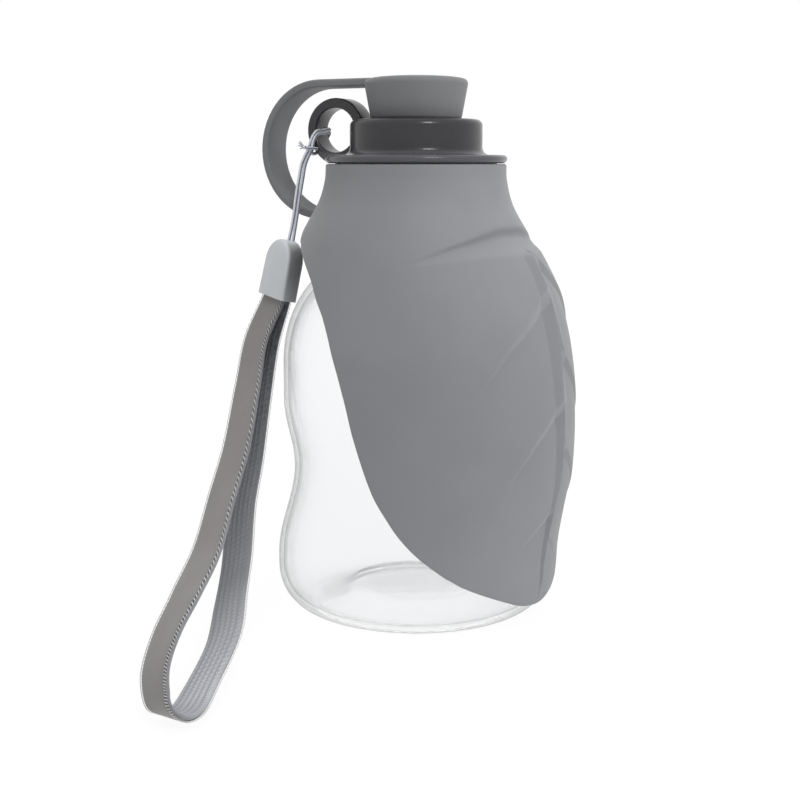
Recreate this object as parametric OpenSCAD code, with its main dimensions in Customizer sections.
// Dog travel water bottle: a clear bottle with a screw cap, and a silicone leaf that
// folds down over the bottle and flips up into a drinking trough.
// Millimetres, +Z up. The origin is on the bottle's axis, on the surface it stands on.
// The leaf faces +X. The stopper's tether and the lanyard ring are on the -X side.

/* [Bottle] */
// Largest diameter, low on the bottle
bottle_d = 74.6; // [70:0.2:77]
// Diameter at the waist
waist_d = 65.4; // [60:0.2:68]
// Diameter of the upper bulge
upper_d = 70.7; // [66:0.2:72]
// Diameter of the ring that it stands on
foot_d = 57.4; // [50:1:60]
// Height of the rounded bottom corner
corner_h = 11; // [6:0.5:12]
// Height of the widest place
widest_z = 13.4; // [12:0.5:16]
// Height of the waist
waist_z = 38.3; // [30:0.5:42]
// Height at which the upper bulge is full
upper_low_z = 56.2; // [50:0.5:60]
// Height at which the shoulder starts
shoulder_z = 65.7; // [60:0.5:70]
// Height of the domed shoulder
shoulder_h = 26.8; // [22:0.5:28]
// Wall of the bottle
bottle_wall = 1.2; // [0.8:0.1:1.6]
// Thickness of its bottom
base_wall = 1.6; // [1.2:0.1:2.4]
// Rise of the bottom's pushed-up middle
push_up = 4; // [2:0.5:6]
// Diameter of the flat in the middle of the push-up
push_up_d = 38; // [30:1:42]

/* [Neck and thread] */
// Outside diameter of the neck
neck_d = 33; // [32:0.2:35]
// Wall of the neck
neck_wall = 2; // [1.6:0.1:2.4]
// Length of the neck above the shoulder
neck_l = 25.4; // [24:0.2:28]
// Rise of the thread in one turn
thread_pitch = 4; // [3.6:0.1:4.4]
// Turns of each thread
thread_turns = 1; // [1:0.05:1.4]
// Depth of the bottle's thread
thread_depth = 1.3; // [1:0.05:1.4]
// Width of a thread at its root
thread_w = 2.4; // [2:0.05:2.6]
// Height of the neck's bead above the shoulder
bead_rise = 7.5; // [5:0.5:9]
// Thickness of the neck's bead
bead_h = 1.5; // [1:0.1:2]
// How far the bead stands out
bead_out = 2.2; // [1.5:0.1:2.6]

/* [Cap] */
// Diameter of the flange
flange_d = 47.5; // [46:0.2:52]
// Thickness of the flange
flange_h = 2.6; // [2.2:0.1:3.2]
// Diameter of the boss
boss_d = 34.5; // [32:0.2:37]
// Height of the boss above the flange
boss_h = 9; // [7:0.5:12]
// Wall of the boss and of its top
cap_wall = 2.2; // [1.8:0.1:2.4]
// Rounding of the boss's top edge
boss_round = 1.7; // [0.8:0.1:2]
// Fillet between boss and flange
boss_fillet = 1.8; // [0.8:0.1:2.2]
// Length of the threaded skirt below the flange
skirt_l = 14.5; // [13:0.5:15]
// Wall of the skirt
skirt_wall = 3; // [2.4:0.1:3.2]
// Bore of the spout
spout_d = 12; // [9:0.2:14]
// Wall of the spout's tube
spout_wall = 1.6; // [1.2:0.1:2]
// Length of the spout's bore
spout_l = 9; // [7:0.5:11]
// Thickness of the sealing washer
seal_h = 1.6; // [1.2:0.1:2]

/* [Lanyard ring] */
// Outside diameter of the ring
ring_d = 16.8; // [15:0.2:19]
// Thickness of the ring's wall
ring_wall = 2.6; // [2:0.1:3.2]
// Width of the ring along its hole
ring_w = 7; // [5:0.5:8]

/* [Silicone] */
// Wall of the sleeve and the leaf
silicone_wall = 1.8; // [1.4:0.1:2]
// Outside diameter at the sleeve's top
sleeve_top_d = 46.4; // [45:0.1:48]
// Outside diameter at the fold, where the leaf starts
fold_d = 60.9; // [58:0.2:64]
// Height of the fold above the surface that the bottle stands on
fold_z = 97.7; // [94:0.5:99]
// Height of the leaf's tip, folded down
tip_z = 4.4; // [3:0.5:8]
// Thickness of the leaf near its tip
leaf_thin = 0.9; // [0.7:0.05:1.2]
// Height of the rib down its middle
leaf_rib = 1; // [0:0.1:1.5]
// How far the leaf's middle is turned from +X, clockwise from above
leaf_turn = 6; // [0:1:12]
// How far the middle of the leaf stands out past its sides
leaf_belly = 6.2; // [3:0.2:8]

/* [Stopper] */
// Diameter of the stopper's top
stopper_top_d = 26.2; // [24:0.2:30]
// Diameter at the stopper's bottom
stopper_low_d = 23.8; // [22:0.2:28]
// Height of the stopper
stopper_h = 10.3; // [9:0.5:13]
// Width of the tether
tether_w = 10; // [8:0.5:12]
// Thickness of the tether
tether_t = 2.2; // [1.8:0.1:2.6]
// How far the tether's bend reaches from the bottle's axis
tether_reach = 44.6; // [44:0.1:50]

/* [Lanyard] */
// Diameter of one strand of the cord
strand_d = 1.1; // [0.9:0.05:1.2]
// Width of the strap
strap_w = 10; // [8:0.5:12]
// Thickness of the woven strap
strap_t = 1.1; // [0.8:0.1:1.4]
// Thickness of the tape on its outer face
tape_t = 0.3; // [0.2:0.05:0.5]
// Width of the ferrule
ferrule_w = 11.6; // [11:0.2:14]
// Thickness of the ferrule
ferrule_t = 5.6; // [5.2:0.1:6.4]
// Length of the ferrule
ferrule_l = 17; // [14:0.5:20]

/* [Hidden] */
$fn = 96;
fit = 0.05;       // radial clearance of a fit
gap = 0.3;        // clearance between curved faces
neck_r = neck_d / 2;
bore_r = neck_r - neck_wall;
neck_z = shoulder_z + shoulder_h;
mouth_z = neck_z + neck_l;
flange_z = mouth_z + 0.2;
boss_z = flange_z + flange_h;
top_z = boss_z + boss_h;
ledge_z = mouth_z + seal_h;
skirt_bore_r = neck_r + thread_depth + 0.4;
skirt_r = skirt_bore_r + skirt_wall;
skirt_z = flange_z - skirt_l;
boss_bore_r = boss_d / 2 - cap_wall;
spout_r = spout_d / 2;
ring_r = ring_d / 2;
ring_x = -(boss_d / 2 + ring_r - 3.2);
ring_z = flange_z + ring_r + 0.3;
sleeve_z = flange_z - 0.15;
sleeve_bore_r = skirt_r + fit;
crease_z = fold_z - 2.2;              // the leaf's upper edge stands proud here
tether_z = top_z + stopper_h - 1.7;   // middle of the tether's straight run
tether_low_z = fold_z + 7;            // middle of its root on the sleeve
tether_bend_x = tether_reach - 17.8;

// Lanyard: points that the cord and the strap follow, from the ring down to the loop's end
cord_route = [[-36.2, -8.7, 93.4], [-35.2, -8.2, 99.3], [-34.3, -7.6, 103], [-33, -6.8, 109],
              [-32, -6, 116.5], [-31.4, -5.3, 121]];
hitch_route = [[-31.5, -5.2, 120.9], [-31.1, -4.9, 122.6], [-28.9, -4.8, 123.8],
               [-26.9, -3.9, 124.7], [-26.7, 0, 124.8], [-26.9, 3.9, 124.7], [-28.9, 4.8, 123.8],
               [-30.9, 3.9, 122.9], [-31.1, 0, 122.8], [-31.3, -3, 122.7]];
strap_route = [[-37.4, -9.7, 87.6], [-38.3, -10.1, 82.2], [-41.5, -14, 71], [-40.5, -21, 59.5],
               [-35, -35, 46], [-29.5, -50, 36], [-24.5, -64.5, 27], [-20, -80, 21],
               [-17, -92, 16], [-14, -100, 11], [-11, -103.5, 6], [-8.5, -102.5, 3.2],
               [-7, -98.5, 2.7], [-9, -90, 4.5], [-13, -75.5, 10], [-19, -62.5, 15],
               [-23, -53.5, 22], [-29, -42, 32], [-34.5, -29, 42], [-39, -17, 57.5],
               [-40, -11, 70], [-37.7, -9.1, 82], [-36.8, -8.6, 87.4]];
strap_across = [0.87, -0.49, 0];      // the way the strap's width lies at the ferrule
bend_across = [0.96, -0.18, 0.22];    // and at the loop's end, before each is squared up
ferrule_at = [-38, -9.6, 82.1];       // middle of the ferrule's open end
ferrule_up = [0.16, 0.08, 0.98];      // the way it hangs
tape_up = (strap_t + tape_t) / 2 + 0.25;  // the tape's middle over the webbing's
strap_half = strap_t + tape_t + 0.2;  // half of the two layers in the ferrule
knot_r = ferrule_t / 2 - 0.9;
knot_up = 11;                         // the knot's height in the ferrule

// A number that eases from 0 to 1
function ease(t) = (1 - cos(180 * min(max(t, 0), 1))) / 2;

// Radius at height z on a smooth curve through [height, radius] stations
function slope(p, i) =
    let (a = max(i - 1, 0), b = min(i + 1, len(p) - 1))
    (p[b][1] - p[a][1]) / (p[b][0] - p[a][0]);
function between(p, i, z) =
    let (h = p[i + 1][0] - p[i][0], t = (z - p[i][0]) / h)
    (2 * t - 3) * t * t * (p[i][1] - p[i + 1][1]) + p[i][1]
    + h * t * (1 - t) * ((1 - t) * slope(p, i) - t * slope(p, i + 1));
function curve(p, z) =
    between(p, max([0, for (k = [0 : len(p) - 2]) if (z >= p[k][0]) k]), z);

// Outside of the bottle, less a wall w, from the corner up to the shoulder
function belly(z, w) =
    z < waist_z
    ? bottle_d / 2 - w - (bottle_d - waist_d) / 2 * ease((z - widest_z) / (waist_z - widest_z))
    : waist_d / 2 - w
      + (upper_d - waist_d) / 2 * ease((z - waist_z) / (upper_low_z - waist_z));
function corner(r_in, r_out, z_low) =
    [for (a = [0 : 9 : 81]) [r_in + (r_out - r_in) * sin(a), z_low + (corner_h - z_low) * (1 - cos(a))]];
function dome(r_out, r_in, h) =
    [for (a = [0 : 6 : 84]) [r_in + (r_out - r_in) * cos(a), shoulder_z + h * sin(a)]];

function bottle_outside() = concat(
    corner(foot_d / 2, bottle_d / 2, 0),
    [for (z = [corner_h : 2 : shoulder_z - 1]) [belly(z, 0), z]],
    dome(upper_d / 2, neck_r, shoulder_h),
    [[neck_r, neck_z], [neck_r, neck_z + bead_rise],
     [neck_r + bead_out, neck_z + bead_rise + 0.4],
     [neck_r + bead_out, neck_z + bead_rise + bead_h - 0.4],
     [neck_r, neck_z + bead_rise + bead_h], [neck_r, mouth_z - 0.6], [neck_r - 0.6, mouth_z]]);
function bottle_inside() = concat(
    corner(foot_d / 2 - 1, bottle_d / 2 - bottle_wall, base_wall),
    [for (z = [corner_h : 2 : shoulder_z - 1]) [belly(z, bottle_wall), z]],
    dome(upper_d / 2 - bottle_wall, bore_r, shoulder_h - bottle_wall),
    [[bore_r, neck_z], [bore_r, mouth_z]]);
// Bottom between the standing ring and the axis, at height h above the standing plane
function bottom(h) =
    [[foot_d / 2 - 3.5, h], [push_up_d / 2 + 1.5, h + push_up * 0.55],
     [push_up_d / 2, h + push_up * 0.8], [push_up_d / 2 - 2, h + push_up * 0.9], [0, h + push_up]];

// A helical ridge: foot radius in the wall, crest radius, and the height of its middle at angle 0
function ridge_ring(foot, crest, a, z) =
    let (grow = min(1, min(a, 360 * thread_turns - a) / 40),
         tip = foot + (crest - foot) * max(grow, 0.05),
         w = sign(crest - foot) * thread_w / 2)
    [for (p = [[foot, w], [tip, w / 2], [tip, -w / 2], [foot, -w]])
        [p[0] * cos(a), p[0] * sin(a), z + thread_pitch * a / 360 + p[1]]];

// A closed tube from rings of points, each ring with the same number of points
module loft(rings) {
    m = len(rings[0]);
    n = len(rings);
    polyhedron(
        points = [for (r = rings) for (p = r) p],
        faces = concat(
            [[for (i = [0 : m - 1]) i]],
            [[for (i = [m - 1 : -1 : 0]) (n - 1) * m + i]],
            [for (k = [0 : n - 2]) for (i = [0 : m - 1])
                let (a = k * m + i, b = k * m + (i + 1) % m)
                for (f = [[a, a + m, b + m], [a, b + m, b]]) f]));
}

module thread(foot, crest, z) {
    steps = ceil(thread_turns * 30);
    loft([for (k = [0 : steps]) ridge_ring(foot, crest, k * 360 * thread_turns / steps, z)]);
}

// An arc of radius r around [x, z], from angle a to angle b
function arc(x, z, r, a, b, n = 6) =
    [for (k = [0 : n]) let (t = a + (b - a) * k / n) [x + r * cos(t), z + r * sin(t)]];
function turned(p) = [for (i = [len(p) - 1 : -1 : 0]) p[i]];
function unit(v) = v / norm(v);
// The part of v that is square to the direction d
function square_to(v, d) = unit(v - (v * d) * d);

// Points on a smooth curve through a route, n to each stretch
function route_slope(r, i) = (r[min(i + 1, len(r) - 1)] - r[max(i - 1, 0)]) / 2;
function on_route(r, i, t) =
    (2 * t - 3) * t * t * (r[i] - r[i + 1]) + r[i]
    + t * (1 - t) * ((1 - t) * route_slope(r, i) - t * route_slope(r, i + 1));
function smooth_route(r, n) = concat(
    [for (i = [0 : len(r) - 2]) for (k = [0 : n - 1]) on_route(r, i, k / n)],
    [r[len(r) - 1]]);
function direction(p, i) = unit(p[min(i + 1, len(p) - 1)] - p[max(i - 1, 0)]);

// A cord of diameter d along a route
module cord(route, d, n = 2, sides = 8) {
    p = smooth_route(route, n);
    loft([for (i = [0 : len(p) - 1])
        let (along = direction(p, i), across = square_to(strap_across, along),
             out = cross(along, across))
        [for (a = [0 : 360 / sides : 359]) p[i] + d / 2 * (cos(a) * across + sin(a) * out)]]);
}

// A flat band along the strap's route: its outer face is away from the loop's inside.
// side and high place the band's middle across and off the strap's own middle.
module band(w, t, side, high) {
    p = smooth_route(strap_route, 3);
    loft([for (i = [0 : len(p) - 1])
        let (along = direction(p, i), lean = sin(180 * i / (len(p) - 1)),
             across = square_to(lean * bend_across + (1 - lean) * strap_across, along),
             out = cross(along, across))
        [for (q = [[-w / 2, -t / 2], [w / 2, -t / 2], [w / 2, t / 2], [-w / 2, t / 2]])
            p[i] + (q[0] + side) * across + (q[1] + high) * out]]);
}

// Stands a child in the ferrule's frame: X across, Y out of its front, Z up its length
module in_ferrule() {
    z = unit(ferrule_up);
    x = square_to(strap_across, z);
    y = cross(z, x);
    multmatrix([[x[0], y[0], z[0], ferrule_at[0]], [x[1], y[1], z[1], ferrule_at[1]],
                [x[2], y[2], z[2], ferrule_at[2]], [0, 0, 0, 1]])
        children();
}

module bottle_shell() {
    color([0.92, 0.93, 0.94, 0.4]) {
        rotate_extrude()
            polygon(concat(turned(bottom(0)), bottle_outside(), turned(bottle_inside()),
                           bottom(base_wall)));
        thread(neck_r - 0.5, neck_r + thread_depth, mouth_z - 3 - thread_pitch * thread_turns);
    }
}

module seal_ring() {
    color("gainsboro")
        rotate_extrude()
            translate([bore_r + 0.2, mouth_z])
                square([skirt_bore_r - bore_r - 0.5, seal_h]);
}

function cap_outline() = concat(
    [[spout_r, top_z - spout_l], [spout_r, top_z - 0.5], [spout_r + 0.5, top_z]],
    arc(boss_d / 2 - boss_round, top_z - boss_round, boss_round, 90, 0),
    arc(boss_d / 2 + boss_fillet, boss_z + boss_fillet, boss_fillet, 180, 270),
    arc((flange_d - flange_h) / 2, boss_z - flange_h / 2, flange_h / 2, 90, -90, 8),
    [[skirt_r, flange_z], [skirt_r, skirt_z + 0.5], [skirt_r - 0.5, skirt_z],
     [skirt_bore_r, skirt_z], [skirt_bore_r, ledge_z], [boss_bore_r, ledge_z],
     [boss_bore_r, top_z - cap_wall], [spout_r + spout_wall, top_z - cap_wall],
     [spout_r + spout_wall, top_z - spout_l]]);

module lanyard_ring() {
    foot_x = -(flange_d / 2 + 1.6);
    difference() {
        translate([0, ring_w / 2, 0])
            rotate([90, 0, 0])
                linear_extrude(ring_w)
                    difference() {
                        union() {
                            translate([ring_x, ring_z])
                                circle(ring_r);
                            polygon([[ring_x - ring_r * cos(35), ring_z - ring_r * sin(35)],
                                     [foot_x, flange_z + 0.4], [foot_x + 0.6, flange_z],
                                     [ring_x, flange_z], [ring_x, ring_z]]);
                        }
                        translate([ring_x, ring_z])
                            circle(ring_r - ring_wall);
                    }
        translate([0, 0, flange_z - 1])
            cylinder(h = top_z, r = boss_d / 2 - 1);
    }
}

module cap() {
    color([0.29, 0.28, 0.3]) {
        rotate_extrude()
            polygon(cap_outline());
        lanyard_ring();
        thread(skirt_bore_r + 0.5, neck_r + 0.4,
               mouth_z - 3 - thread_pitch * (thread_turns + 0.5));
    }
}

function sleeve_r(z) =
    sleeve_top_d / 2 + (fold_d - sleeve_top_d) / 2
    * ease(pow(max(0, (sleeve_z - z) / (sleeve_z - fold_z)), 1.6));
function sleeve_side() = [for (k = [0 : 20]) let (z = fold_z + (sleeve_z - 0.6 - fold_z) * k / 20)
    [sleeve_r(z), z]];

module leaf_collar() {
    color([0.53, 0.54, 0.56])
        rotate_extrude()
            polygon(concat(
                sleeve_side(), arc(sleeve_top_d / 2 - 0.6, sleeve_z - 0.6, 0.6, 30, 90, 2),
                [[sleeve_bore_r, sleeve_z]],
                [for (k = [20 : -1 : 0]) let (z = fold_z + (sleeve_z - 0.6 - fold_z) * k / 20)
                    [max(sleeve_bore_r, sleeve_r(z) - silicone_wall), z]]));
}

// Half of the angle that the leaf covers round the bottle at height z: a rounded tip,
// long sides, and the flare that joins it to the fold
function leaf_cover(z) = curve([
    [tip_z + 0.8, 5], [tip_z + 5, 23], [tip_z + 9.5, 39], [tip_z + 18, 57], [tip_z + 28, 69],
    [waist_z, 74.5], [waist_z + 13, 82], [shoulder_z - 4.5, 86.5], [shoulder_z + 5, 91.5],
    [fold_z - 17.5, 99.5], [fold_z - 8.5, 112], [fold_z - 3.8, 123], [fold_z, 137]], z);
// Radius that clears the bottle's shoulder by a gap and the leaf's wall
function over_dome(z) =
    neck_r + (upper_d / 2 - neck_r) * sqrt(1 - pow((z - shoulder_z) / shoulder_h, 2))
    + gap + silicone_wall + 0.1;
// Radius of the leaf's outside along its borders, and its belly in the middle
function leaf_side(z) = curve([
    [tip_z, bottle_d / 2 + 0.4], [tip_z + 5, bottle_d / 2 + 1.3],
    [widest_z + 3, bottle_d / 2 + 1.45],
    [waist_z - 10, bottle_d / 2 + 1.2], [waist_z + 2, max(bottle_d, upper_d) / 2 + 0.5],
    [upper_low_z, upper_d / 2 + gap + silicone_wall + 0.2],
    [shoulder_z, over_dome(shoulder_z)], [shoulder_z + 6, over_dome(shoulder_z + 6)],
    [fold_z - 21, over_dome(fold_z - 21)], [fold_z - 9, fold_d / 2 + 2.7], [fold_z, fold_d / 2]], z);
function belly_share(z) = curve([
    [tip_z, 0], [widest_z + 3, 0], [waist_z - 9, 0.4], [waist_z + 4, 0.89],
    [upper_low_z + 2.5, 0.95], [fold_z - 23, 0.86], [fold_z - 9.2, 0.6], [crease_z, 0.3],
    [fold_z, 0]], z);
function leaf_r(z, a) =
    leaf_side(z) + leaf_belly * belly_share(z) * pow(cos(min(90, 0.9 * abs(a))), 2)
    + (abs(a) < 1 && z > widest_z && z < fold_z - 1 ? leaf_rib : 0);
function leaf_wall(z) = leaf_thin + (silicone_wall - leaf_thin) * ease((z - widest_z) / 20);

module leaf() {
    rows = 24;
    cols = 22;
    low = tip_z + 0.8;
    heights = concat([for (j = [0 : rows - 1]) low + (crease_z - low) * pow(j / rows, 1.1)],
                     [crease_z, fold_z]);
    function spot(z, i, in) =
        let (a = leaf_cover(z) * (2 * i / cols - 1),
             r = in ? leaf_r(z, max(1, abs(a))) - leaf_wall(z) : leaf_r(z, a))
        [r * cos(a), r * sin(a), z];
    color([0.57, 0.58, 0.6])
        rotate([0, 0, -leaf_turn])
        loft([for (z = heights) concat([for (i = [0 : cols]) spot(z, i, true)],
                                       [for (i = [cols : -1 : 0]) spot(z, i, false)])]);
}

function stopper_outline() =
    let (z = top_z - spout_l + 0.5, core = spout_r - 0.8, bead = spout_r - fit)
    concat(
        [[0, z], [core - 0.8, z], [core, z + 0.8]],
        [for (b = [z + 1.4, z + 4.4])
            for (q = [[core, b], [bead, b + 0.7], [bead, b + 1.3], [core, b + 2]]) q],
        [[core, top_z], [stopper_low_d / 2 - 1.8, top_z]],
        arc(stopper_low_d / 2 - 2, top_z + 2, 2, -80, -10),
        arc(stopper_top_d / 2 - 1.7, top_z + stopper_h - 2.3, 1.7, 0, 80),
        [[stopper_top_d / 4, top_z + stopper_h - 0.15], [0, top_z + stopper_h]]);

module stopper() {
    color([0.5, 0.51, 0.52])
        rotate_extrude()
            polygon(stopper_outline());
}

module stopper_tether() {
    bend_z = (tether_z + tether_low_z) / 2;
    rise = (tether_z - tether_low_z) / 2;
    reach = tether_reach - tether_t / 2 - tether_bend_x;
    function side(o) = concat(
        [[-spout_r, tether_z + o]],
        [for (a = [90 : 7.5 : 270]) [-tether_bend_x + (reach + o) * cos(a), bend_z + (rise + o) * sin(a)]],
        [[-sleeve_bore_r, tether_low_z - o]]);
    color([0.5, 0.51, 0.52])
        difference() {
            translate([0, tether_w / 2, 0])
                rotate([90, 0, 0])
                    linear_extrude(tether_w)
                        polygon(concat(side(tether_t / 2), turned(side(-tether_t / 2))));
            translate([0, 0, tether_z - tether_t])
                cylinder(h = 2 * tether_t, r = stopper_top_d / 2 + fit);
            rotate_extrude()
                polygon(concat([[0, fold_z]], sleeve_side(), [[0, sleeve_z - 0.6]]));
        }
}

module lanyard_cord() {
    color("lightsteelblue") {
        cord(hitch_route, 2 * strand_d - 0.9);
        cord(cord_route, 2 * strand_d);
        in_ferrule()
            translate([0, 0, knot_up])
                sphere(knot_r, $fn = 24);
    }
}

module ferrule() {
    round_r = ferrule_w / 2;
    color([0.72, 0.73, 0.74])
        in_ferrule()
            difference() {
                translate([0, ferrule_t / 2, 0])
                    rotate([90, 0, 0])
                        linear_extrude(ferrule_t)
                            union() {
                                translate([-round_r, 0])
                                    square([ferrule_w, ferrule_l - round_r]);
                                translate([0, ferrule_l - round_r])
                                    circle(round_r);
                            }
                translate([-strap_w / 2 - 0.3, -strap_half - 0.5, -1])
                    cube([strap_w + 0.6, 2 * strap_half + 1, knot_up - knot_r]);
                translate([0, 0, knot_up])
                    sphere(knot_r + 0.15, $fn = 24);
                translate([0, 0, knot_up])
                    cylinder(h = ferrule_l, r = strand_d + 0.3);
            }
}

module strap_webbing() {
    color([0.47, 0.49, 0.54])
        band(strap_w, strap_t, 0, 0);
}

module strap_tape() {
    color([0.51, 0.49, 0.47])
        band(strap_w - 1, tape_t, 0, tape_up);
}

module strap_stitching() {
    color("silver")
        for (side = [-1, 1])
            band(0.45, tape_t, side * (strap_w / 2 - 0.25), tape_up);
}

module strap_tack() {
    color("dimgray")
        in_ferrule()
            for (side = [-1, 1])
                translate([0, side * (strap_half + 0.4), 4])
                    cube([strap_w * 0.6, 0.2, 1.6], center = true);
}

bottle_shell();
seal_ring();
cap();
leaf_collar();
leaf();
stopper();
stopper_tether();
lanyard_cord();
ferrule();
strap_webbing();
strap_tape();
strap_stitching();
strap_tack();
